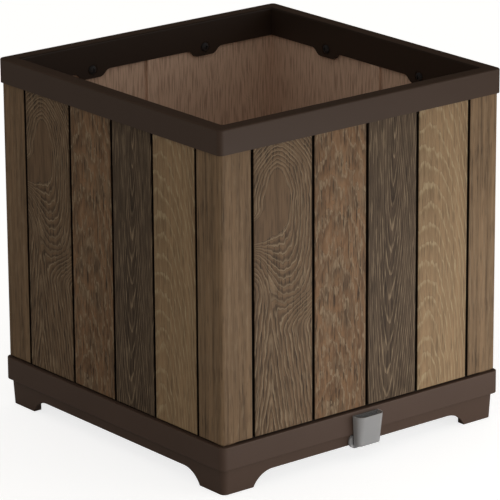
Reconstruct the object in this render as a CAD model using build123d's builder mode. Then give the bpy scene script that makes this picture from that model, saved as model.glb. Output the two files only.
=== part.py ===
"""Square planter box: four wood-look corner panels held between a footed base tray and a top rim.

Millimetres, +Z up. The origin is on the floor, under the middle of the planter. The front is
-Y, where the drain cup sits. A "reach" is the distance from the planter's centre to a face,
measured square to that side. "Along" runs left to right on a side, seen from outside.
"""
import os
from math import atan, degrees, hypot

from build123d import *

# ---------------------------------------------------------------- driving dimensions
total_height = 411.0
panel_width = 395.2        # outside of the board faces, square

slip_gap = 0.4             # clearance between fixed pieces that slide together
free_gap = 0.6             # clearance around the drain cup, which moves
overshoot = 1.0            # how far a cutter runs past the face it cuts
same_place = 0.01          # edges closer than this are taken as one

# corner panels and their boards
board_relief = 3.6         # how far each board stands out of the panel behind it
panel_back = 8.6           # thickness of the panel behind the boards
groove_width = 3.6
board_edge_radius = 1.3
panel_corner_radius = 4.5
corner_board = 43.3        # width of the corner board on each face
knot_board = 84.1
amber_board = 76.4
dark_board = 72.5          # the light board takes the rest of the side
lap_wall = 2.8             # wall of the Z-shaped lap that closes each mid-side seam
lap_width = 15.1
lap_set_back = 3.7         # from the middle of the seam back to the step in the lap
board_end_gap = 1.8        # from the base band's top to the lower ends of the boards
board_under_rim = 20.0     # how far the boards run up behind the rim

# base tray
foot_height = 29.9         # floor to the underside of the band
band_height = 26.7
band_proud = 3.4           # how far the band stands out past the board faces
band_corner_radius = 8.0
band_edge_radius = 1.0
skirt_inset = 4.0          # skirt behind the band, at the band's underside
skirt_draft = 2.0          # how much further in the skirt is at the floor
skirt_wall = 3.0
arch_drop = 13.3           # from the underside of the band to the flat of the arch
arch_run = 26.0            # from a foot's toe to the flat of the arch
foot_length = 41.5
foot_thickness = 10.0
channel_lift = 4.2         # from the underside of the band to the panels' lower edges
channel_floor = 3.0
tray_wall = 2.5
tray_wall_drop = 3.0       # top of the reservoir wall, below the band's top
tray_floor = 2.0
centre_foot = 30.0         # round foot that carries the soil grid's post

# top rim
rim_height = 28.0
rim_wall = 2.0             # outside the boards
rim_top_wall = 2.5
rim_skirt_wall = 3.0
rim_skirt_depth = 33.0     # below the rim's top face, between the screw lobes
rim_head_room = 1.5        # above the panels' top edges
rim_corner_radius = 6.0
rim_edge_radius = 2.0
mouth_corner_radius = 2.5
lobe_drop = 8.0
lobe_flat = 20.0
lobe_curve = 16.0          # length of the S-curve at each end of a lobe

# screws
screw_spacing = 163.4      # between a side's two screws, in the rim and in the base
screw_hole_gap = 0.1       # radial
screw_end_room = 0.5       # from a screw's tip to the bottom of its hole
rim_screw_drop = 31.0      # below the rim's top face
rim_screw_shank = 4.0
rim_screw_length = 11.5
rim_screw_head = 10.0
rim_screw_head_height = 3.2
seat_diameter = 14.0       # shallow round seat pressed into each lobe
seat_depth = 0.6
base_screw_shank = 3.6
base_screw_length = 15.0
base_screw_head = 6.2
base_screw_head_height = 2.4
point_share = 0.8          # length of the point, to the shank's diameter
edge_share = 0.35          # height of the head's rim, to the head's height
recess_share = 0.5         # width of the cross recess, to the head's diameter
blade_share = 0.14         # width of one of its slots, to the head's diameter
recess_floor_share = 0.4   # height of its floor, to the head's height

# soil grid and wick cups
grid_thickness = 3.0
grid_hole = 8.0
grid_hole_pitch = 40.0
grid_rib_depth = 9.0
grid_rib_wall = 2.4
grid_rib_spacing = 100.0
wick_cup_top = 38.0
wick_cup_bottom = 32.0
wick_cup_flange = 45.0
wick_cup_wall = 2.0
wick_cup_spacing = 180.0
wick_slot_width = 5.0
wick_slot_height = 14.0

# drain cup and its seal
cup_top_drop = 4.1         # from the band's top down to the cup's mouth
cup_bottom_lift = 0.9      # from the flat of the arch up to the cup's bottom
cup_wall = 1.8
cup_mouth_width = 37.0
cup_mouth_depth = 14.0
cup_mouth_radius = 8.0
cup_base_width = 33.0
cup_base_depth = 9.2
cup_base_radius = 5.5
cup_back_radius = 1.2
plate_width = 41.0         # rounded plate that lies against the skirt
plate_height = 16.4
plate_thickness = 2.6
spigot_radius = 4.0
spigot_bore = 2.5
spigot_past_wall = 5.0     # how far the spigot reaches into the reservoir
seal_fit = 0.05            # radial running fit of the spigot in the seal
seal_wall = 1.3
seal_past_wall = 1.5       # how far the seal stands out into the reservoir
boss_wall = 1.9

# ---------------------------------------------------------------- worked out from them
board_reach = panel_width / 2
rim_reach = board_reach + slip_gap + rim_wall
base_reach = board_reach + band_proud
back_reach = board_reach - board_relief
inner_reach = back_reach - panel_back
channel_reach = inner_reach - slip_gap
mouth_reach = channel_reach - rim_skirt_wall
lap_inner_reach = channel_reach - lap_wall
tray_reach = channel_reach - tray_wall
skirt_reach = base_reach - skirt_inset
foot_reach = skirt_reach - skirt_draft
arch_half = foot_reach - foot_length
arch_height = foot_height - arch_drop
base_screw_reach = (channel_reach + foot_reach - skirt_wall) / 2

band_top = foot_height + band_height
panel_bottom = foot_height + channel_lift
channel_underside = panel_bottom - channel_floor
board_bottom = band_top + board_end_gap
rim_bottom = total_height - rim_height
rim_top_underside = total_height - rim_top_wall
panel_top = rim_top_underside - rim_head_room
board_top = rim_bottom + board_under_rim
rim_skirt_bottom = total_height - rim_skirt_depth
rim_screw_height = total_height - rim_screw_drop
floor_top = arch_height + tray_floor
grid_bottom = band_top - tray_wall_drop
grid_top = grid_bottom + grid_thickness
grid_reach = inner_reach - free_gap
foot_well_radius = centre_foot / 2 - tray_wall
grid_post_radius = foot_well_radius - slip_gap
lap_bottom = grid_top + slip_gap
lap_top = rim_skirt_bottom - slip_gap

# middles of the grooves along a side
groove_after_corner = corner_board - board_reach
groove_after_knot = groove_after_corner + knot_board
seam = groove_after_knot + amber_board
groove_after_dark = seam + dark_board
groove_before_corner = board_reach - corner_board
half_groove = groove_width / 2
lap_step = seam - lap_set_back

seal_radius = spigot_radius + seal_fit + seal_wall
boss_radius = seal_radius + boss_wall
port_height = floor_top + seal_radius + slip_gap
neck_radius = foot_height - free_gap - port_height
cup_top = band_top - cup_top_drop
cup_bottom = arch_height + cup_bottom_lift
cup_back = base_reach + free_gap
plate_back = skirt_reach + slip_gap
plate_middle = foot_height - free_gap - plate_height / 2


def square_tube(outer, inner, bottom, top, corner=0.0, mode=Mode.ADD):
    """A square tube between two heights; outer and inner are reaches."""
    with BuildSketch(Plane.XY.offset(bottom)) as plan:
        if corner:
            RectangleRounded(2 * outer, 2 * outer, corner)
        else:
            Rectangle(2 * outer, 2 * outer)
        Rectangle(2 * inner, 2 * inner, mode=Mode.SUBTRACT)
    extrude(plan.sketch, amount=top - bottom, mode=mode)


def block(x, y, z, mode=Mode.ADD):
    """A box given by its lowest and highest value along each axis."""
    with Locations(((x[0] + x[1]) / 2, (y[0] + y[1]) / 2, (z[0] + z[1]) / 2)):
        Box(x[1] - x[0], y[1] - y[0], z[1] - z[0], mode=mode)


def front_bar(radius, height, outer, inner, mode=Mode.ADD):
    """A round bar square to the front, between two reaches on the front side."""
    plane = Plane(origin=(0, -outer, height), x_dir=(1, 0, 0), z_dir=(0, 1, 0))
    with BuildSketch(plane) as disc:
        Circle(radius)
    extrude(disc.sketch, amount=outer - inner, mode=mode)


def side_places(reach, height, tilt):
    """Two places on each of the four sides; tilt turns a screw to face the way it is driven."""
    places = []
    for side in range(4):
        turn = Location((0, 0, 0), (0, 0, 90 * side))
        for along in (-screw_spacing / 2, screw_spacing / 2):
            places.append(turn * Location((along, -reach, height), (tilt, 0, 0)))
    return places


def screw_holes(places, shank, depth):
    """Cut a hole below the local origin of each place, a little wider than the shank."""
    with Locations(*places):
        Cylinder(shank / 2 + screw_hole_gap, depth, mode=Mode.SUBTRACT,
                 align=(Align.CENTER, Align.CENTER, Align.MAX))


def make_screw(shank, length, head, head_height):
    """A pan-head cross-recess screw: its head above the local origin, its shank below."""
    point = shank * point_share
    edge = head_height * edge_share
    recess = head * recess_share
    blade = head * blade_share
    with BuildPart() as screw:
        with BuildSketch(Plane.XZ):
            with BuildLine():
                Polyline((0, head_height), (0, -length), (shank / 2, point - length),
                         (shank / 2, 0), (head / 2, 0), (head / 2, edge))
                TangentArc((0, head_height), (head / 2, edge), tangent=(1, 0))
            make_face()
        revolve(axis=Axis.Z)
        with BuildSketch(Plane.XY.offset(head_height * recess_floor_share)):
            Rectangle(recess, blade)
            Rectangle(blade, recess)
        extrude(amount=head_height, mode=Mode.SUBTRACT)
    return screw.part


def cup_outline(height, width, depth, radius, wall):
    """Plan of the drain cup at a height, its flat back towards the planter."""
    with BuildSketch(Plane.XY.offset(height)) as outline:
        with Locations((0, -cup_back - depth / 2)):
            Rectangle(width - 2 * wall, depth - 2 * wall)
        fillet(outline.vertices().group_by(Axis.Y)[0], radius - wall)
        fillet(outline.vertices().group_by(Axis.Y)[-1], cup_back_radius)
    return outline.sketch


def write(part, label):
    """Label a finished piece and write its STEP file."""
    part.label = label
    export_step(part, f"parts/{label}.step")


os.makedirs("parts", exist_ok=True)
rim_screw_places = side_places(mouth_reach + seat_depth, rim_screw_height, -90)
base_screw_places = side_places(base_screw_reach, channel_underside, 180)


# ---------------------------------------------------------------- base tray
with BuildPart() as base_tray:
    # band around the panels
    square_tube(base_reach, back_reach + slip_gap, foot_height, band_top, band_corner_radius)
    for end in (0, -1):
        end_face = base_tray.faces().filter_by(Axis.Z).sort_by(Axis.Z)[end]
        fillet(end_face.outer_wire().edges(), band_edge_radius)
    # skirt and feet: a tapered block, hollowed between the feet and arched along each side
    with BuildSketch(Plane.XY.offset(foot_height)):
        RectangleRounded(2 * skirt_reach, 2 * skirt_reach, band_corner_radius)
    extrude(amount=-foot_height, taper=degrees(atan(skirt_draft / foot_height)))
    foot_inside = (foot_thickness - foot_reach, foot_reach - foot_thickness)
    skirt_inside = (skirt_wall - foot_reach, foot_reach - skirt_wall)
    between_feet = (-arch_half, arch_half)
    whole_foot = (0, foot_height)
    block(foot_inside, foot_inside, whole_foot, mode=Mode.SUBTRACT)
    block(skirt_inside, between_feet, whole_foot, mode=Mode.SUBTRACT)
    block(between_feet, skirt_inside, whole_foot, mode=Mode.SUBTRACT)
    for arch_plane in (Plane.XZ, Plane.YZ):
        with BuildSketch(arch_plane):
            with BuildLine():
                Line((arch_half, -overshoot), (arch_half, 0))
                TangentArc((arch_half - arch_run, arch_height), (arch_half, 0), tangent=(1, 0))
                Line((arch_half - arch_run, arch_height), (arch_run - arch_half, arch_height))
                TangentArc((arch_run - arch_half, arch_height), (-arch_half, 0), tangent=(-1, 0))
                Polyline((-arch_half, 0), (-arch_half, -overshoot), (arch_half, -overshoot))
            make_face()
        extrude(amount=base_reach, both=True, mode=Mode.SUBTRACT)
    # channel floor under the panels, then the reservoir's walls and floor
    square_tube(back_reach + slip_gap + overshoot, tray_reach, channel_underside, panel_bottom)
    square_tube(channel_reach, tray_reach, arch_height, grid_bottom)
    reservoir = (-tray_reach, tray_reach)
    block(reservoir, reservoir, (arch_height, floor_top))
    # centre foot, a closed well that the soil grid's post stands in
    Cylinder(centre_foot / 2, floor_top, align=(Align.CENTER, Align.CENTER, Align.MIN))
    with Locations((0, 0, tray_wall)):
        Cylinder(foot_well_radius, floor_top, mode=Mode.SUBTRACT,
                 align=(Align.CENTER, Align.CENTER, Align.MIN))
    # boss that carries the drain cup's seal from the skirt to the reservoir
    front_bar(boss_radius, port_height, foot_reach, tray_reach)
    front_bar(seal_radius, port_height, base_reach, tray_reach - overshoot, mode=Mode.SUBTRACT)
    screw_holes(base_screw_places, base_screw_shank, channel_floor)
write(base_tray.part, "base_tray")


# ---------------------------------------------------------------- corner panels
# The first panel stands at the front left corner. Its front leg ends at the seam in the middle
# of the front, and its side leg laps behind the next panel in the middle of the left side.
with BuildPart() as corner_panel:
    free_edge = seam - half_groove
    rebate_edge = lap_step - lap_wall - slip_gap
    rebate_reach = inner_reach + lap_wall + slip_gap
    with BuildSketch(Plane.XY.offset(panel_bottom)):
        with BuildLine():
            Polyline((-back_reach, -back_reach), (free_edge, -back_reach),
                     (free_edge, -rebate_reach), (rebate_edge, -rebate_reach),
                     (rebate_edge, -inner_reach), (-inner_reach, -inner_reach),
                     (-inner_reach, lap_wall - lap_step),
                     (-inner_reach - lap_wall, lap_wall - lap_step),
                     (-inner_reach - lap_wall, -seam - half_groove),
                     (-back_reach, -seam - half_groove), (-back_reach, -back_reach))
        make_face()
    extrude(amount=panel_top - panel_bottom)
    # lap flange, stepped inwards so that it lies over the next panel's inner face
    block((-inner_reach, -lap_inner_reach), (-lap_step, lap_wall - lap_step),
          (lap_bottom, lap_top))
    block((-channel_reach, -lap_inner_reach), (-lap_step, lap_width - lap_step),
          (lap_bottom, lap_top))
    # boards standing out of the panel, grooves left between them
    board_depth = (-board_reach, -back_reach)
    board_heights = (board_bottom, board_top)
    front_boards = ((-board_reach, groove_after_corner - half_groove),
                    (groove_after_corner + half_groove, groove_after_knot - half_groove),
                    (groove_after_knot + half_groove, free_edge))
    side_boards = ((seam + half_groove, groove_after_dark - half_groove),
                   (groove_after_dark + half_groove, groove_before_corner - half_groove),
                   (groove_before_corner + half_groove, board_reach))
    for start, stop in front_boards:
        block((start, stop), board_depth, board_heights)
    for start, stop in side_boards:
        block(board_depth, (-stop, -start), board_heights)
    corner_edge = corner_panel.edges().filter_by(Axis.Z).sort_by_distance(
        (-board_reach, -board_reach, (board_bottom + board_top) / 2))[0]
    fillet(corner_edge, panel_corner_radius)
    board_faces = (corner_panel.faces().filter_by(Axis.Y).group_by(Axis.Y)[0]
                   + corner_panel.faces().filter_by(Axis.X).group_by(Axis.X)[0])
    corner_limit = panel_corner_radius - board_reach + same_place
    board_edges = [edge for face in board_faces for edge in face.outer_wire().edges()
                   if max(edge.center().X, edge.center().Y) > corner_limit]
    board_edges += corner_panel.edges().filter_by(GeomType.CIRCLE)
    fillet(board_edges, board_edge_radius)
    for places, shank, length in ((rim_screw_places, rim_screw_shank, rim_screw_length),
                                  (base_screw_places, base_screw_shank, base_screw_length)):
        near = [place for place in places if max(place.position.X, place.position.Y) < 0]
        screw_holes(near, shank, length + screw_end_room)
corner_names = ("front_left", "front_right", "rear_right", "rear_left")
for turn, corner_name in enumerate(corner_names):
    write(corner_panel.part.rotate(Axis.Z, 90 * turn), f"corner_panel_{corner_name}")


# ---------------------------------------------------------------- top rim
# one side's pair of lobes, which the rim's inner skirt carries around its screws
with BuildPart() as lobes:
    with BuildSketch(Plane(origin=(0, -channel_reach, 0), x_dir=(1, 0, 0), z_dir=(0, -1, 0))):
        for middle in (-screw_spacing / 2, screw_spacing / 2):
            with BuildLine():
                half_flat = lobe_flat / 2
                half_lobe = half_flat + lobe_curve
                top_level = rim_skirt_bottom + overshoot
                low_level = rim_skirt_bottom - lobe_drop
                mid_level = rim_skirt_bottom - lobe_drop / 2
                half_curve = half_flat + lobe_curve / 2
                Line((middle - half_lobe, top_level), (middle - half_lobe, rim_skirt_bottom))
                TangentArc((middle - half_lobe, rim_skirt_bottom), (middle - half_curve, mid_level),
                           tangent=(1, 0))
                TangentArc((middle - half_flat, low_level), (middle - half_curve, mid_level),
                           tangent=(-1, 0))
                Line((middle - half_flat, low_level), (middle + half_flat, low_level))
                TangentArc((middle + half_flat, low_level), (middle + half_curve, mid_level),
                           tangent=(1, 0))
                TangentArc((middle + half_lobe, rim_skirt_bottom), (middle + half_curve, mid_level),
                           tangent=(-1, 0))
                Polyline((middle + half_lobe, rim_skirt_bottom), (middle + half_lobe, top_level),
                         (middle - half_lobe, top_level))
            make_face()
    extrude(amount=-rim_skirt_wall)

with BuildPart() as top_rim:
    with BuildSketch(Plane.XY.offset(rim_bottom)):
        RectangleRounded(2 * rim_reach, 2 * rim_reach, rim_corner_radius)
    extrude(amount=rim_height)
    with BuildSketch(Plane.XY.offset(rim_bottom)):
        RectangleRounded(2 * (board_reach + slip_gap), 2 * (board_reach + slip_gap),
                         panel_corner_radius)
    extrude(amount=rim_height - rim_top_wall, mode=Mode.SUBTRACT)
    square_tube(channel_reach, mouth_reach, rim_skirt_bottom, rim_top_underside)
    with BuildSketch(Plane.XY.offset(rim_top_underside)):
        RectangleRounded(2 * mouth_reach, 2 * mouth_reach, mouth_corner_radius)
    extrude(amount=rim_top_wall, mode=Mode.SUBTRACT)
    top_face = top_rim.faces().filter_by(Axis.Z).sort_by(Axis.Z)[-1]
    fillet(top_face.edges(), rim_edge_radius)
    for side in range(4):
        add(lobes.part.rotate(Axis.Z, 90 * side))
    with Locations(*rim_screw_places):
        Cylinder(seat_diameter / 2, seat_depth + overshoot, mode=Mode.SUBTRACT,
                 align=(Align.CENTER, Align.CENTER, Align.MIN))
    screw_holes(rim_screw_places, rim_screw_shank, rim_skirt_wall)
write(top_rim.part, "top_rim")


# ---------------------------------------------------------------- screws
rim_screw = make_screw(rim_screw_shank, rim_screw_length, rim_screw_head, rim_screw_head_height)
with BuildPart() as rim_screws:
    with Locations(*rim_screw_places):
        add(rim_screw)
write(rim_screws.part, "rim_screws")

base_screw = make_screw(base_screw_shank, base_screw_length, base_screw_head,
                        base_screw_head_height)
with BuildPart() as base_screws:
    with Locations(*base_screw_places):
        add(base_screw)
write(base_screws.part, "base_screws")


# ---------------------------------------------------------------- soil grid
with BuildPart() as soil_grid:
    grid_span = (-grid_reach, grid_reach)
    block(grid_span, grid_span, (grid_bottom, grid_top))
    rib_span = (free_gap - tray_reach, tray_reach - free_gap)
    rib_heights = (grid_bottom - grid_rib_depth, grid_bottom)
    for middle in (-grid_rib_spacing / 2, grid_rib_spacing / 2):
        rib = (middle - grid_rib_wall / 2, middle + grid_rib_wall / 2)
        block(rib_span, rib, rib_heights)
        block(rib, rib_span, rib_heights)
    with BuildSketch(Plane.XY.offset(tray_wall)):
        Circle(grid_post_radius)
    extrude(amount=grid_bottom - tray_wall)
    holes_per_row = 2 * int((grid_reach - grid_hole) / grid_hole_pitch) + 1
    cup_corner = wick_cup_spacing / 2
    keep_out = wick_cup_flange / 2 + grid_hole
    with GridLocations(grid_hole_pitch, grid_hole_pitch, holes_per_row, holes_per_row) as grid:
        hole_spots = [spot for spot in grid.locations
                      if hypot(abs(spot.position.X) - cup_corner,
                               abs(spot.position.Y) - cup_corner) > keep_out]
    with Locations(Location((0, 0, grid_top))):
        with Locations(*hole_spots):
            Hole(grid_hole / 2, depth=grid_thickness)
    with Locations((0, 0, grid_top)):
        with GridLocations(wick_cup_spacing, wick_cup_spacing, 2, 2):
            Hole(wick_cup_top / 2 + slip_gap, depth=grid_thickness)
write(soil_grid.part, "soil_grid")


# ---------------------------------------------------------------- wick cups
with BuildPart() as wick_cup:
    cup_height = grid_top - floor_top
    with Locations((0, 0, floor_top)):
        Cone(wick_cup_bottom / 2, wick_cup_top / 2, cup_height,
             align=(Align.CENTER, Align.CENTER, Align.MIN))
    with Locations((0, 0, grid_top)):
        Cylinder(wick_cup_flange / 2, wick_cup_wall,
                 align=(Align.CENTER, Align.CENTER, Align.MIN))
    with Locations((0, 0, floor_top + wick_cup_wall)):
        Cone(wick_cup_bottom / 2 - wick_cup_wall, wick_cup_top / 2 - wick_cup_wall, cup_height,
             align=(Align.CENTER, Align.CENTER, Align.MIN), mode=Mode.SUBTRACT)
    slot = (-wick_slot_width / 2, wick_slot_width / 2)
    slot_heights = (floor_top + 2 * wick_cup_wall, floor_top + 2 * wick_cup_wall + wick_slot_height)
    across = (-wick_cup_top, wick_cup_top)
    block(slot, across, slot_heights, mode=Mode.SUBTRACT)
    block(across, slot, slot_heights, mode=Mode.SUBTRACT)
for corner_name, side_x, side_y in (("front_left", -1, -1), ("front_right", 1, -1),
                                    ("rear_right", 1, 1), ("rear_left", -1, 1)):
    place = Location((side_x * cup_corner, side_y * cup_corner, 0))
    write(wick_cup.part.moved(place), f"wick_cup_{corner_name}")


# ---------------------------------------------------------------- drain seal
with BuildPart() as drain_seal:
    front_bar(seal_radius, port_height, foot_reach, tray_reach - seal_past_wall)
    front_bar(spigot_radius + seal_fit, port_height, base_reach,
              tray_reach - seal_past_wall - overshoot, mode=Mode.SUBTRACT)
write(drain_seal.part, "drain_seal")


# ---------------------------------------------------------------- drain cup
with BuildPart() as drain_cup:
    loft([cup_outline(cup_bottom, cup_base_width, cup_base_depth, cup_base_radius, 0),
          cup_outline(cup_top, cup_mouth_width, cup_mouth_depth, cup_mouth_radius, 0)])
    loft([cup_outline(cup_bottom + cup_wall, cup_base_width, cup_base_depth, cup_base_radius,
                      cup_wall),
          cup_outline(cup_top, cup_mouth_width, cup_mouth_depth, cup_mouth_radius, cup_wall)],
         mode=Mode.SUBTRACT)
    # rounded plate against the skirt, the neck behind the cup and the spigot
    with BuildSketch(Plane(origin=(0, -plate_back, plate_middle), x_dir=(1, 0, 0),
                           z_dir=(0, -1, 0))):
        SlotOverall(plate_width, plate_height)
    extrude(amount=plate_thickness)
    front_bar(neck_radius, port_height, cup_back + cup_wall / 2, plate_back)
    front_bar(spigot_radius, port_height, plate_back + overshoot, tray_reach - spigot_past_wall)
    front_bar(spigot_bore, port_height, cup_back + cup_wall + overshoot,
              tray_reach - spigot_past_wall - overshoot, mode=Mode.SUBTRACT)
write(drain_cup.part, "drain_cup")
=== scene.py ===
"""Builds the looks of a square wood-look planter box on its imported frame."""

from math import cos, pi, radians, sin

import bpy
from mathutils import Matrix, Vector


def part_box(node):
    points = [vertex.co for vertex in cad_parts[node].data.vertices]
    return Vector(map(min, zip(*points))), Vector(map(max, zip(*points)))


bl_info = {
    "name": "Planter Box",
    "version": (1, 0, 0),
    "blender": (4, 5, 0),
    "location": "3D View > Sidebar > Planter",
    "description": "Builds a square wood-look planter box, its finishes, lights and camera",
    "category": "Add Mesh",
}

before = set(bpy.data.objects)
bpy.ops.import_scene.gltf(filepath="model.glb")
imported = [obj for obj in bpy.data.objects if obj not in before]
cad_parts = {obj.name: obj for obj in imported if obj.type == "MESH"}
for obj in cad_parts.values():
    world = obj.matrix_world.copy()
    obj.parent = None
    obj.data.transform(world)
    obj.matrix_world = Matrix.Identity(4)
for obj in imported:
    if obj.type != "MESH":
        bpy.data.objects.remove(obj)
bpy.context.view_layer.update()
MILLIMETRE = 0.001
CORNERS = ("front_left", "front_right", "rear_right", "rear_left")

# Boards of one side, left to right: corner, knot, amber, dark, light, corner end. All places and
# lengths on a side are in millimetres: along is from its middle, height is from the floor.
GROOVES = (-210.0, -154.3, -70.2, 6.2, 78.7, 154.3, 210.0)
GROOVE_EDGE = 0.3                                    # softness of a board's painted edge
WANDER = (6.0, 6.0, 16.0, 2.4, 6.0, 6.0)             # slow drift of the growth lines
JITTER = (1.4, 3.4, 11.0, 0.9, 2.6, 1.4)             # quick jags of the growth lines
LINE_SPACING = (6.0, 3.9, 6.5, 2.3, 4.4, 5.0)
LINE_LIGHT = (0.12, 1.25, 1.00, 0.80, 0.80, 0.12)    # strength of each mark, 0 to about 1
LINE_SHADE = (0.08, 0.50, 0.32, 0.22, 0.08, 0.12)
FLECK_RUN = (20.0, 30.0, 16.0, 34.0, 20.0, 20.0)
FLECK_LIGHT = (0.24, 0.34, 0.38, 0.30, 0.26, 0.24)
STREAK_LIGHT = (0.30, 0.10, 0.15, 0.15, 0.20, 0.30)
STREAK_SHADE = (0.34, 0.10, 0.16, 0.25, 0.06, 0.42)
PORE_SHADE = (0.34, 0.60, 0.62, 0.70, 0.30, 0.34)

# The knot: its middle, the half heights of its eye, and the fan of lines under it, which is
# wide in the middle of the board and closes up at the board's left edge.
KNOT_ALONG, KNOT_HEIGHT = -121.0, 318.0
EYE_RADIUS = 16.0
EYE_UP, EYE_DOWN = 35.0, 32.0
FAN_DROP, FAN_WIDTH, FAN_CLOSING, FAN_LINES = 8.0, 78.0, 60.0, 30.0
PEAK_ALONG, PEAK_HEIGHT = -130.0, 163.0

AMBER_MIDDLE, AMBER_RISE = -46.0, 0.18               # pith line, and how steep its peaks are
LIGHT_MIDDLE, LIGHT_RISE = 93.0, 0.20
DARK_MIDDLE, DARK_LEAN, DARK_RISE = 46.0, -0.035, 0.085
BOARD_TOP = 378.0
WEDGE_SPACING = 92.0

# In metres: the rim's inner skirt, and the drain cup, which narrows from its mouth to its base.
SKIRT_REACH, SKIRT_FOOT = 0.183, 0.36
CUP_MOUTH_HALF, CUP_SIDE_DRAFT = 0.0185, 0.002
CUP_FRONT_DRAFT = 0.0048
CUP_MOUTH_RADIUS, CUP_RADIUS_DRAFT = 0.008, 0.0025
SENSOR_WIDTH = 36.0                                  # of the camera, in millimetres


# ------------------------------------------------------------------ shader helpers
class Graph:
    """Adds shader nodes to one material, a small step at a time."""

    def __init__(self, material):
        self.nodes = material.node_tree.nodes
        self.links = material.node_tree.links
        self.shader = next(n for n in self.nodes if n.type == "BSDF_PRINCIPLED")

    def feed(self, socket, value):
        """Link a socket into another one, or set its value."""
        if isinstance(value, bpy.types.NodeSocket):
            self.links.new(value, socket)
        elif hasattr(value, "__len__") and len(value) == 3 and socket.type == "RGBA":
            socket.default_value = (*value, 1.0)
        else:
            socket.default_value = value

    def calc(self, operation, a, b=0.0, c=0.0):
        """One Math node."""
        node = self.nodes.new("ShaderNodeMath")
        node.operation = operation
        for socket, value in zip(node.inputs, (a, b, c)):
            self.feed(socket, value)
        return node.outputs[0]

    def fade(self, value, start, end, low=0.0, high=1.0):
        """A smooth step from low to high as value goes from start to end."""
        node = self.nodes.new("ShaderNodeMapRange")
        node.interpolation_type = "SMOOTHSTEP"
        for name, item in (("Value", value), ("From Min", start), ("From Max", end),
                           ("To Min", low), ("To Max", high)):
            self.feed(node.inputs[name], item)
        return node.outputs["Result"]

    def between(self, value, start, end, soft):
        """1 where value lies between start and end, 0 outside, over a soft edge."""
        return self.calc("MULTIPLY", self.fade(value, start - soft, start + soft),
                         self.fade(value, end - soft, end + soft, 1.0, 0.0))

    def mix(self, factor, a, b, blend="MIX"):
        """A colour mix."""
        node = self.nodes.new("ShaderNodeMix")
        node.data_type = "RGBA"
        node.blend_type = blend
        for index, value in ((0, factor), (6, a), (7, b)):
            self.feed(node.inputs[index], value)
        return node.outputs[2]

    def point(self, x, y, z=0.0):
        """A vector from three numbers."""
        node = self.nodes.new("ShaderNodeCombineXYZ")
        for socket, value in zip(node.inputs, (x, y, z)):
            self.feed(socket, value)
        return node.outputs[0]

    def noise(self, vector, scale, detail=2.0):
        """Noise from 0 to 1."""
        node = self.nodes.new("ShaderNodeTexNoise")
        for name, value in (("Vector", vector), ("Scale", scale), ("Detail", detail),
                            ("Roughness", 0.5)):
            self.feed(node.inputs[name], value)
        return node.outputs["Fac"]

    def place(self):
        """The point on the object, in metres, as x, y and z."""
        where = self.nodes.new("ShaderNodeTexCoord")
        split = self.nodes.new("ShaderNodeSeparateXYZ")
        self.links.new(where.outputs["Object"], split.inputs[0])
        return split.outputs

    def bump(self, height, strength, distance):
        """Let a height from 0 to 1 tilt the surface."""
        node = self.nodes.new("ShaderNodeBump")
        for name, value in (("Height", height), ("Strength", strength),
                            ("Distance", distance)):
            self.feed(node.inputs[name], value)
        self.links.new(node.outputs["Normal"], self.shader.inputs["Normal"])


def new_material(name, roughness, specular=0.5):
    """A material with a Principled shader of one roughness."""
    material = bpy.data.materials.new(name)
    material.use_nodes = True
    graph = Graph(material)
    graph.shader.inputs["Roughness"].default_value = roughness
    graph.shader.inputs["Specular IOR Level"].default_value = specular
    return material, graph


# ------------------------------------------------------------------ settings
def colour(name, description, default):
    """A colour setting."""
    return bpy.props.FloatVectorProperty(name=name, description=description, default=default,
                                         subtype="COLOR", size=3, min=0.0, max=1.0)


def length(name, description, default):
    """A length setting, in metres."""
    return bpy.props.FloatProperty(name=name, description=description, default=default,
                                   unit="LENGTH", subtype="DISTANCE", precision=4)


def angle(name, description, default):
    """An angle setting, in radians."""
    return bpy.props.FloatProperty(name=name, description=description, default=default,
                                   unit="ROTATION", subtype="ANGLE", precision=3)


def number(name, description, default):
    """A plain number setting."""
    return bpy.props.FloatProperty(name=name, description=description, default=default,
                                   precision=3)


def spot(name, description, default):
    """A place setting, in metres."""
    return bpy.props.FloatVectorProperty(name=name, description=description, default=default,
                                         unit="LENGTH", subtype="TRANSLATION", size=3)


class PlanterColours(bpy.types.PropertyGroup):
    """Colours of the planter's pieces, as linear values."""

    rim: colour("Rim", "Moulded top rim", (0.079, 0.049, 0.034))
    base: colour("Base", "Moulded base tray", (0.101, 0.063, 0.046))
    corner: colour("Corner board", "Left end of each side", (0.215, 0.136, 0.076))
    corner_end: colour("Corner board end", "Right end of each side", (0.262, 0.168, 0.094))
    knot: colour("Knot board", "Board with the large knot", (0.200, 0.125, 0.071))
    amber: colour("Amber board", "Orange-brown streaked board", (0.245, 0.137, 0.071))
    dark: colour("Dark board", "Grey-brown board", (0.100, 0.067, 0.043))
    light: colour("Light board", "Light tan board", (0.318, 0.208, 0.114))
    inside: colour("Inside", "Inner faces of the panels", (0.660, 0.465, 0.345))
    inside_shade: colour("Inside shade", "Dark streaks of the inner faces", (0.300, 0.190, 0.135))
    line: colour("Grain line", "Light lines of the printed grain", (0.330, 0.240, 0.150))
    pale_line: colour("Pale grain line", "Lines of the light board", (0.450, 0.345, 0.205))
    shade: colour("Grain shade", "Dark streaks of the printed grain", (0.045, 0.030, 0.020))
    # near black: the grooves' dark resin together with painted shade in the recess
    groove_resin_and_shade: colour("Groove", "Dark resin between the boards", (0.006, 0.004, 0.003))
    steel: colour("Screw", "Blackened screw heads", (0.035, 0.033, 0.034))
    clear: colour("Clear cup", "Tint of the clear cup", (0.93, 0.93, 0.94))
    grid: colour("Grid", "Black soil grid and wick cups", (0.018, 0.018, 0.019))
    rubber: colour("Seal", "Black rubber of the drain seal", (0.014, 0.014, 0.014))


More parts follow.
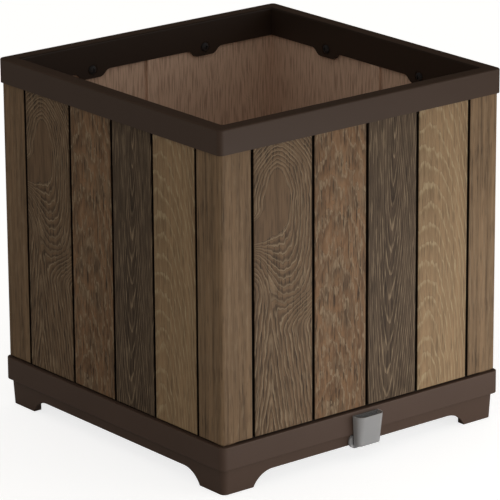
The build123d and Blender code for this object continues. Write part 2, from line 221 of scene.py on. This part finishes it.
class PlanterStage(bpy.types.PropertyGroup):
    """Camera and lights."""

    azimuth: angle("Azimuth", "Camera's turn round the planter", radians(-38.834))
    elevation: angle("Elevation", "Camera's height above the horizon", radians(17.535))
    roll: angle("Roll", "Camera's roll", radians(-0.375))
    distance: length("Distance", "Camera to the point it looks at", 4.255)
    aim_height: length("Aim height", "Height of the point it looks at", 0.1918)
    aim_side: length("Aim offset", "How far that point lies to the camera's right", 0.0006)
    lens: number("Lens", "Focal length in millimetres", 270.3)
    key: number("Key light", "Power of the soft light in front, in watts", 20.0)
    key_place: spot("Key light place", "Where the soft light in front stands", (2.6, -3.4, 1.1))
    key_width: length("Key light width", "Width of the soft light in front", 2.4)
    key_height: length("Key light height", "Height of the soft light in front", 1.8)
    low: number("Low light", "Power of the soft light near the floor, in watts", 1.4)
    low_place: spot("Low light place", "Where the low light stands", (0.16, -0.68, 0.04))
    low_width: length("Low light width", "Width of the low light", 0.9)
    low_height: length("Low light height", "Height of the low light", 0.08)
    sky: number("Sky", "Strength of the even light all round", 0.45)
    sky_colour: colour("Sky colour", "Colour of the even light", (1.0, 0.95, 0.88))
    floor_colour: colour("Floor colour", "Pale floor", (0.50, 0.50, 0.50))
    floor_size: length("Floor size", "Side of the square floor", 24.0)
    floor_drop: length("Floor drop", "How far the floor lies under the feet", 0.0005)
    floor_glow: number("Floor glow", "How much the floor lights itself", 0.78)


# ------------------------------------------------------------------ finishes
def side_place(graph):
    """Place on the planter's sides in millimetres: along, height, reach from the middle."""
    x, y, z = (graph.calc("MULTIPLY", value, 1 / MILLIMETRE) for value in graph.place())
    far_x = graph.calc("ABSOLUTE", x)
    far_y = graph.calc("ABSOLUTE", y)
    on_front = graph.calc("GREATER_THAN", far_y, far_x)
    along_front = graph.calc("MULTIPLY", graph.calc("SIGN", y), graph.calc("MULTIPLY", x, -1.0))
    along_side = graph.calc("MULTIPLY", graph.calc("SIGN", x), y)
    along = graph.calc("ADD", graph.calc("MULTIPLY", on_front, along_front),
                       graph.calc("MULTIPLY", graph.calc("SUBTRACT", 1.0, on_front), along_side))
    return along, z, graph.calc("MAXIMUM", far_x, far_y)


def stretched_noise(graph, along, height, width, run, layer):
    """Noise about 0, width millimetres across and run millimetres long."""
    vector = graph.point(graph.calc("DIVIDE", along, width), graph.calc("DIVIDE", height, run),
                         layer)
    return graph.calc("SUBTRACT", graph.noise(vector, 1.0), 0.5)


def rise_field(g, across, depth, power=2.0):
    """Distance from a board's pith line: equal values run as nested peaks along the board."""
    far = g.calc("ADD", g.calc("POWER", g.calc("ABSOLUTE", across), power),
                 g.calc("POWER", depth, power))
    return g.calc("POWER", far, g.calc("DIVIDE", 1.0, power))


def part_of(g, value, start, stop, slope):
    """How much of value lies between start and stop, times slope."""
    return g.calc("MULTIPLY", g.calc("SUBTRACT", g.calc("MINIMUM", g.calc(
        "MAXIMUM", value, start), stop), start), slope)


def knot_field(g, along, height):
    """Rings round a pointed eye open to the left, a fan under it, then upright lines."""
    across = g.calc("SUBTRACT", along, KNOT_ALONG)
    rise = g.calc("SUBTRACT", height, KNOT_HEIGHT)
    under = g.calc("MULTIPLY", rise, -1.0)
    to_left = g.fade(across, 13.0, -31.0)
    start = g.calc("MULTIPLY_ADD", to_left, FAN_DROP, EYE_DOWN)
    width = g.calc("MULTIPLY_ADD", to_left, -FAN_CLOSING, FAN_WIDTH)
    stop = g.calc("ADD", start, width)
    above = g.calc("ADD", part_of(g, rise, 0.0, EYE_UP, 0.457),
                   part_of(g, rise, EYE_UP, 90.0, 0.83))
    fan = g.calc("ADD", part_of(g, under, 0.0, EYE_DOWN, EYE_RADIUS / EYE_DOWN),
                 part_of(g, under, start, stop, g.calc("DIVIDE", FAN_LINES, width)))
    left_share = g.fade(rise, -30.0, -4.0, 0.0, 0.95)
    on_left = g.calc("LESS_THAN", across, 0.0)
    share = g.calc("MULTIPLY_ADD", on_left, g.calc("SUBTRACT", left_share, 1.0), 1.0)
    rings = rise_field(g, g.calc("MULTIPLY", across, share), g.calc("ADD", above, fan),
                       g.fade(rise, -18.0, 14.0, 3.0, 1.5))
    peak = g.calc("ABSOLUTE", g.calc("SUBTRACT", along, PEAK_ALONG))
    upright = g.calc("ADD", g.calc("MULTIPLY_ADD", peak, 0.75, EYE_RADIUS + FAN_LINES),
                     g.calc("MULTIPLY", g.calc("SUBTRACT", height, PEAK_HEIGHT), 0.12))
    lower = g.fade(g.calc("SUBTRACT", under, stop), -6.0, 40.0)
    return g.calc("ADD", g.calc("MULTIPLY", lower, upright),
                  g.calc("MULTIPLY", g.calc("SUBTRACT", 1.0, lower), rings))


def pick(g, masks, values):
    """The value of whichever board a point is on."""
    total = 0.0
    for mask, value in zip(masks, values):
        total = g.calc("MULTIPLY_ADD", mask, value, total)
    return total


def board_finish(colours):
    """Printed wood grain on the boards, plain grain inside, dark resin with painted shade in the
    grooves.
    """
    material, g = new_material("board_resin", 0.6, 0.15)
    along, height, reach = side_place(g)
    masks = [g.between(along, start, stop, GROOVE_EDGE)
             for start, stop in zip(GROOVES, GROOVES[1:])]

    wander = stretched_noise(g, along, height, 26.0, 60.0, 0.0)
    jitter = stretched_noise(g, along, height, 5.0, 16.0, 3.0)

    # the growth lines of each board, as one field in millimetres
    low = g.calc("SUBTRACT", BOARD_TOP, height)
    dark_middle = g.calc("MULTIPLY_ADD", low, DARK_LEAN, DARK_MIDDLE)
    from_middle = g.calc("ABSOLUTE", g.calc("SUBTRACT", along, dark_middle))
    fields = (along, knot_field(g, along, height),
              rise_field(g, g.calc("SUBTRACT", along, AMBER_MIDDLE),
                         g.calc("MULTIPLY_ADD", height, AMBER_RISE, 6.0)),
              rise_field(g, from_middle, g.calc("MULTIPLY_ADD", low, DARK_RISE, 3.0), 1.7),
              rise_field(g, g.calc("SUBTRACT", along, LIGHT_MIDDLE),
                         g.calc("MULTIPLY_ADD", height, LIGHT_RISE, 6.0)), along)
    field = pick(g, masks, fields)
    field = g.calc("MULTIPLY_ADD", wander, pick(g, masks, WANDER), field)
    field = g.calc("MULTIPLY_ADD", jitter, pick(g, masks, JITTER), field)
    rings = g.calc("DIVIDE", field, pick(g, masks, LINE_SPACING))

    # flecks follow the growth lines, pores and streaks run straight up the board
    flow = pick(g, masks, (along, field, g.calc("MULTIPLY_ADD", field, 0.25, along),
                           g.calc("MULTIPLY_ADD", field, 0.35, along),
                           g.calc("MULTIPLY_ADD", field, 0.60, along), along))
    fleck = stretched_noise(g, flow, height, 1.9, pick(g, masks, FLECK_RUN), 6.0)
    pore = stretched_noise(g, along, height, 1.8, 30.0, 9.0)
    streak = stretched_noise(g, along, height, 4.5, 130.0, 12.0)
    patch = stretched_noise(g, along, height, 15.0, 40.0, 15.0)
    phase = g.calc("FRACT", rings)
    edge = g.calc("MULTIPLY", g.fade(phase, 0.62, 0.88), g.fade(phase, 0.90, 1.0, 1.0, 0.0))
    band = g.fade(phase, 0.05, 0.6)
    broken = g.fade(fleck, -0.10, 0.12, 0.28, 1.0)
    bright = g.calc("MULTIPLY", g.calc("MULTIPLY", edge, broken), pick(g, masks, LINE_LIGHT))
    bright = g.calc("ADD", bright, g.calc("MULTIPLY", g.fade(fleck, 0.05, 0.16),
                                          pick(g, masks, FLECK_LIGHT)))
    bright = g.calc("ADD", bright, g.calc("MULTIPLY", g.fade(streak, 0.0, 0.25),
                                          pick(g, masks, STREAK_LIGHT)))
    gloom = g.calc("MULTIPLY", band, pick(g, masks, LINE_SHADE))
    gloom = g.calc("ADD", gloom, g.calc("MULTIPLY", g.fade(pore, 0.03, 0.15),
                                        pick(g, masks, PORE_SHADE)))
    gloom = g.calc("ADD", gloom, g.calc("MULTIPLY", g.fade(streak, 0.0, -0.22),
                                        pick(g, masks, STREAK_SHADE)))

    # the eye is smooth, the dark board has darker wedges above its tips
    eye = g.calc("MULTIPLY", masks[1], g.fade(field, 16.2, 17.2, 1.0, 0.0))
    bright = g.calc("MULTIPLY", bright, g.calc("SUBTRACT", 1.0, eye))
    gloom = g.mix(eye, gloom, g.fade(pore, -0.1, 0.22, 0.20, 0.50))
    tip = g.calc("MULTIPLY_ADD", from_middle, -5.5, height)
    wedge = g.fade(g.calc("FRACT", g.calc("DIVIDE", tip, WEDGE_SPACING)), 0.0, 0.55, 0.85, 0.0)
    wedge = g.calc("MULTIPLY", wedge, g.fade(from_middle, 8.0, 13.0, 1.0, 0.0))
    gloom = g.calc("MULTIPLY_ADD", g.calc("MULTIPLY", wedge, masks[3]), 0.45, gloom)

    base = tuple(colours.corner)
    for mask, tint in zip(masks[1:], (colours.knot, colours.amber, colours.dark, colours.light,
                                      colours.corner_end)):
        base = g.mix(mask, base, tuple(tint))
    grey = g.calc("MULTIPLY", masks[2], g.fade(patch, -0.05, 0.14, 0.0, 0.85))
    base = g.mix(grey, base, tuple(colours.knot))
    warm = g.fade(stretched_noise(g, along, height, 9.0, 200.0, 18.0), -0.2, 0.2, 0.86, 1.14)
    base = g.mix(1.0, base, g.point(warm, warm, warm), "MULTIPLY")
    light = g.mix(masks[4], tuple(colours.line), tuple(colours.pale_line))
    painted = g.mix(g.calc("MINIMUM", gloom, 0.9), base, tuple(colours.shade))
    painted = g.mix(g.calc("MINIMUM", bright, 0.8), painted, light)

    # plain grain inside, and the grooves' dark resin, deepened to near black as painted shade
    inner = g.mix(g.fade(pore, -0.08, 0.2, 0.0, 0.62), tuple(colours.inside),
                  tuple(colours.inside_shade))
    painted = g.mix(g.fade(reach, 189.0, 190.0), inner, painted)
    # painted shade: the grooves' floor and walls, 193 to 196.8 mm from the middle, go near black
    groove_resin_and_shade = g.calc("MULTIPLY", g.between(reach, 193.0, 196.8, 0.2),
                    g.fade(g.calc("ABSOLUTE", along), 176.0, 180.0, 1.0, 0.0))
    painted = g.mix(g.calc("MULTIPLY", groove_resin_and_shade, 0.96), painted, tuple(colours.groove_resin_and_shade))
    g.feed(g.shader.inputs["Base Color"], painted)
    g.bump(g.calc("SUBTRACT", g.calc("MULTIPLY", bright, -0.5), gloom), 0.6, 0.0005)
    return material


def trim_finish(name, tint):
    """Fine satin moulded resin, with painted shade that darkens the inside face of the rim."""
    material, g = new_material(name, 0.45, 0.24)
    x, y, z = g.place()
    grain = g.noise(g.point(x, y, z), 1400.0, 2.0)
    cloud = g.noise(g.point(x, y, z), 14.0, 2.0)
    shade = tuple(0.86 * value for value in tint)
    face = g.mix(cloud, shade, tuple(tint))
    reach = g.calc("MAXIMUM", g.calc("ABSOLUTE", x), g.calc("ABSOLUTE", y))
    # painted shade: faces within 0.183 m of the middle and above 0.37 m high get 0.42 of the tint
    skirt_painted_shade = g.calc("MULTIPLY", g.fade(reach, SKIRT_REACH, SKIRT_REACH + 0.002, 1.0, 0.0),
                   g.fade(z, SKIRT_FOOT, SKIRT_FOOT + 0.01))
    g.feed(g.shader.inputs["Base Color"],
           g.mix(skirt_painted_shade, face, tuple(0.42 * value for value in tint)))
    g.feed(g.shader.inputs["Roughness"], g.fade(grain, 0.2, 0.8, 0.38, 0.50))
    g.bump(grain, 0.25, 0.00012)
    return material


def steel_finish(tint):
    """Blackened steel with fine turning marks."""
    material, g = new_material("screw_steel", 0.4)
    g.shader.inputs["Metallic"].default_value = 0.5
    x, y, z = g.place()
    grain = g.noise(g.point(x, y, z), 900.0, 3.0)
    light = tuple(2.2 * value for value in tint)
    g.feed(g.shader.inputs["Base Color"], g.mix(grain, tuple(tint), light))
    g.feed(g.shader.inputs["Roughness"], g.fade(grain, 0.2, 0.8, 0.5, 0.7))
    return material


def black_finish(name, roughness, tint):
    """Plain black resin or rubber, with slight mottling."""
    material, g = new_material(name, roughness, 0.35)
    x, y, z = g.place()
    grain = g.noise(g.point(x, y, z), 260.0, 3.0)
    g.feed(g.shader.inputs["Base Color"],
           g.mix(grain, tuple(tint), tuple(1.6 * value for value in tint)))
    g.bump(grain, 0.2, 0.0002)
    return material


def cup_finish(tint):
    """Clear moulded plastic, mottled on its outer face, with painted shade darkening its inner
    faces.
    """
    material, g = new_material("clear_cup", 0.12)
    g.shader.inputs["Transmission Weight"].default_value = 0.62
    g.shader.inputs["Coat Weight"].default_value = 0.5
    g.shader.inputs["Coat Roughness"].default_value = 0.05
    g.shader.inputs["IOR"].default_value = 1.40
    x, y, z = g.place()
    cloud = g.noise(g.point(x, y, z), 60.0, 2.0)

    # distance inwards from the cup's outer face, whose corners are round
    low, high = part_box("drain_cup")
    drop = g.calc("DIVIDE", g.calc("SUBTRACT", high[2], z), high[2] - low[2])
    radius = g.calc("MULTIPLY_ADD", drop, -CUP_RADIUS_DRAFT, CUP_MOUTH_RADIUS)
    half = g.calc("MULTIPLY_ADD", drop, -CUP_SIDE_DRAFT, CUP_MOUTH_HALF)
    side = g.calc("SUBTRACT", g.calc("ABSOLUTE", x), g.calc("SUBTRACT", half, radius))
    face = g.calc("MULTIPLY_ADD", drop, CUP_FRONT_DRAFT, low[1])
    front = g.calc("SUBTRACT", g.calc("ADD", face, radius), y)
    far = g.calc("SQRT", g.calc("ADD", g.calc("POWER", g.calc("MAXIMUM", side, 0.0), 2.0),
                                g.calc("POWER", g.calc("MAXIMUM", front, 0.0), 2.0)))
    # painted shade: every face but the outer one gets 0.42 of the tint, so the cup looks dark
    # inside
    outside = g.fade(g.calc("SUBTRACT", far, radius), -0.0013, -0.0006)
    outer = g.mix(cloud, tuple(tint), tuple(0.94 * value for value in tint))
    g.feed(g.shader.inputs["Base Color"],
           g.mix(outside, tuple(0.42 * value for value in tint), outer))
    g.feed(g.shader.inputs["Roughness"], g.fade(cloud, 0.3, 0.7, 0.10, 0.18))
    return material


def dress(node, material):
    """Give a CAD node its finish, keeping its shape."""
    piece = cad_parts[node]
    if not piece.material_slots:
        piece.data.materials.append(None)
    for material_slot in piece.material_slots:
        material_slot.link = "OBJECT"
        material_slot.material = material


# ------------------------------------------------------------------ operators
class PLANTER_OT_panels(bpy.types.Operator):
    """Finish the four corner panels"""

    bl_idname = "planter.panels"
    bl_label = "Corner Panels"

    def execute(self, context):
        material = board_finish(context.scene.planter_colours)
        for corner in CORNERS:
            dress(f"corner_panel_{corner}", material)
        return {"FINISHED"}


class PLANTER_OT_trim(bpy.types.Operator):
    """Finish the top rim and the base tray"""

    bl_idname = "planter.trim"
    bl_label = "Rim and Base"

    def execute(self, context):
        colours = context.scene.planter_colours
        dress("top_rim", trim_finish("rim_resin", colours.rim))
        dress("base_tray", trim_finish("base_resin", colours.base))
        return {"FINISHED"}


class PLANTER_OT_screws(bpy.types.Operator):
    """Finish the rim and base screws"""

    bl_idname = "planter.screws"
    bl_label = "Screws"

    def execute(self, context):
        material = steel_finish(context.scene.planter_colours.steel)
        dress("rim_screws", material)
        dress("base_screws", material)
        return {"FINISHED"}


class PLANTER_OT_reservoir(bpy.types.Operator):
    """Finish the soil grid, the wick cups and the drain seal"""

    bl_idname = "planter.reservoir"
    bl_label = "Reservoir Parts"

    def execute(self, context):
        colours = context.scene.planter_colours
        grid = black_finish("grid_resin", 0.55, colours.grid)
        rubber = black_finish("seal_rubber", 0.8, colours.rubber)
        dress("soil_grid", grid)
        for corner in CORNERS:
            dress(f"wick_cup_{corner}", grid)
        dress("drain_seal", rubber)
        return {"FINISHED"}


class PLANTER_OT_drain_cup(bpy.types.Operator):
    """Finish the clear drain cup"""

    bl_idname = "planter.drain_cup"
    bl_label = "Drain Cup"

    def execute(self, context):
        dress("drain_cup", cup_finish(context.scene.planter_colours.clear))
        return {"FINISHED"}


def add_light(name, place, width, height, power, aim):
    """Add a soft rectangular light that faces a point."""
    bpy.ops.object.light_add(type="AREA", location=place)
    light = bpy.context.object
    light.name = name
    light.data.shape = "RECTANGLE"
    light.data.size = width
    light.data.size_y = height
    light.data.energy = power
    light.rotation_euler = (Vector(aim) - light.location).to_track_quat("-Z", "Y").to_euler()


def add_floor(stage):
    """Add the pale floor, whose glow lights nothing but itself."""
    bpy.ops.object.select_all(action="DESELECT")
    bpy.ops.mesh.primitive_plane_add(size=stage.floor_size, location=(0.0, 0.0, 0.0))
    floor = bpy.context.object
    floor.name = "floor"
    floor.location.z = -stage.floor_drop
    material, g = new_material("floor_white", 0.9, 0.0)
    g.feed(g.shader.inputs["Base Color"], tuple(stage.floor_colour))
    g.feed(g.shader.inputs["Emission Color"], (1.0, 1.0, 1.0))
    g.shader.inputs["Emission Strength"].default_value = stage.floor_glow
    floor.data.materials.append(material)
    lit_by_glow = bpy.data.collections.new("lit_by_floor_glow")
    lit_by_glow.objects.link(floor)
    floor.light_linking.receiver_collection = lit_by_glow


def add_camera(stage):
    """Add the camera, which turns round the planter and looks slightly down at it."""
    azimuth, elevation = stage.azimuth, stage.elevation
    back = Vector((sin(azimuth) * cos(elevation), -cos(azimuth) * cos(elevation),
                   sin(elevation)))
    right = Vector((cos(azimuth), sin(azimuth), 0.0))
    aim = Vector((0.0, 0.0, stage.aim_height)) + right * stage.aim_side
    bpy.ops.object.camera_add(location=aim + back * stage.distance, rotation=(0.0, 0.0, 0.0))
    camera = bpy.context.object
    camera.name = "camera"
    turn = (Matrix.Rotation(azimuth, 4, "Z") @ Matrix.Rotation(pi / 2 - elevation, 4, "X")
            @ Matrix.Rotation(stage.roll, 4, "Z"))
    camera.rotation_euler = turn.to_euler()
    camera.data.sensor_width = SENSOR_WIDTH
    camera.data.lens = stage.lens
    camera.data.clip_start = 0.1
    camera.data.clip_end = 50.0
    return camera


class PLANTER_OT_stage(bpy.types.Operator):
    """Add the floor, the lights and the camera"""

    bl_idname = "planter.stage"
    bl_label = "Stage"

    def execute(self, context):
        stage = context.scene.planter_stage
        add_floor(stage)

        world = bpy.data.worlds.new("studio")
        world.use_nodes = True
        background = world.node_tree.nodes["Background"]
        background.inputs["Color"].default_value = (*stage.sky_colour, 1.0)
        background.inputs["Strength"].default_value = stage.sky
        world.cycles_visibility.glossy = False
        context.scene.world = world

        add_light("key_light", stage.key_place, stage.key_width, stage.key_height, stage.key,
                  (0.0, 0.0, 0.2))
        add_light("low_light", stage.low_place, stage.low_width, stage.low_height, stage.low,
                  (0.0, -0.2, 0.05))
        context.scene.camera = add_camera(stage)
        context.scene.view_settings.view_transform = "Standard"
        return {"FINISHED"}


class PLANTER_PT_panel(bpy.types.Panel):
    """Planter box settings and operators"""

    bl_idname = "PLANTER_PT_panel"
    bl_label = "Planter Box"
    bl_space_type = "VIEW_3D"
    bl_region_type = "UI"
    bl_category = "Planter"

    def draw(self, context):
        layout = self.layout
        for group in (context.scene.planter_colours, context.scene.planter_stage):
            box = layout.box()
            for name in group.__annotations__:
                box.prop(group, name)
        for operator in OPERATORS:
            layout.operator(operator.bl_idname)


OPERATORS = (PLANTER_OT_panels, PLANTER_OT_trim, PLANTER_OT_screws, PLANTER_OT_reservoir,
             PLANTER_OT_drain_cup, PLANTER_OT_stage)
CLASSES = (PlanterColours, PlanterStage, *OPERATORS, PLANTER_PT_panel)


def register():
    """Add the classes and the scene's settings."""
    for item in CLASSES:
        bpy.utils.register_class(item)
    bpy.types.Scene.planter_colours = bpy.props.PointerProperty(type=PlanterColours)
    bpy.types.Scene.planter_stage = bpy.props.PointerProperty(type=PlanterStage)


def unregister():
    """Take the settings and classes away again."""
    del bpy.types.Scene.planter_stage
    del bpy.types.Scene.planter_colours
    for item in reversed(CLASSES):
        bpy.utils.unregister_class(item)


def main():
    """Build everything in order."""
    register()
    bpy.ops.planter.panels()
    bpy.ops.planter.trim()
    bpy.ops.planter.screws()
    bpy.ops.planter.reservoir()
    bpy.ops.planter.drain_cup()
    bpy.ops.planter.stage()


if __name__ == "__main__":
    main()
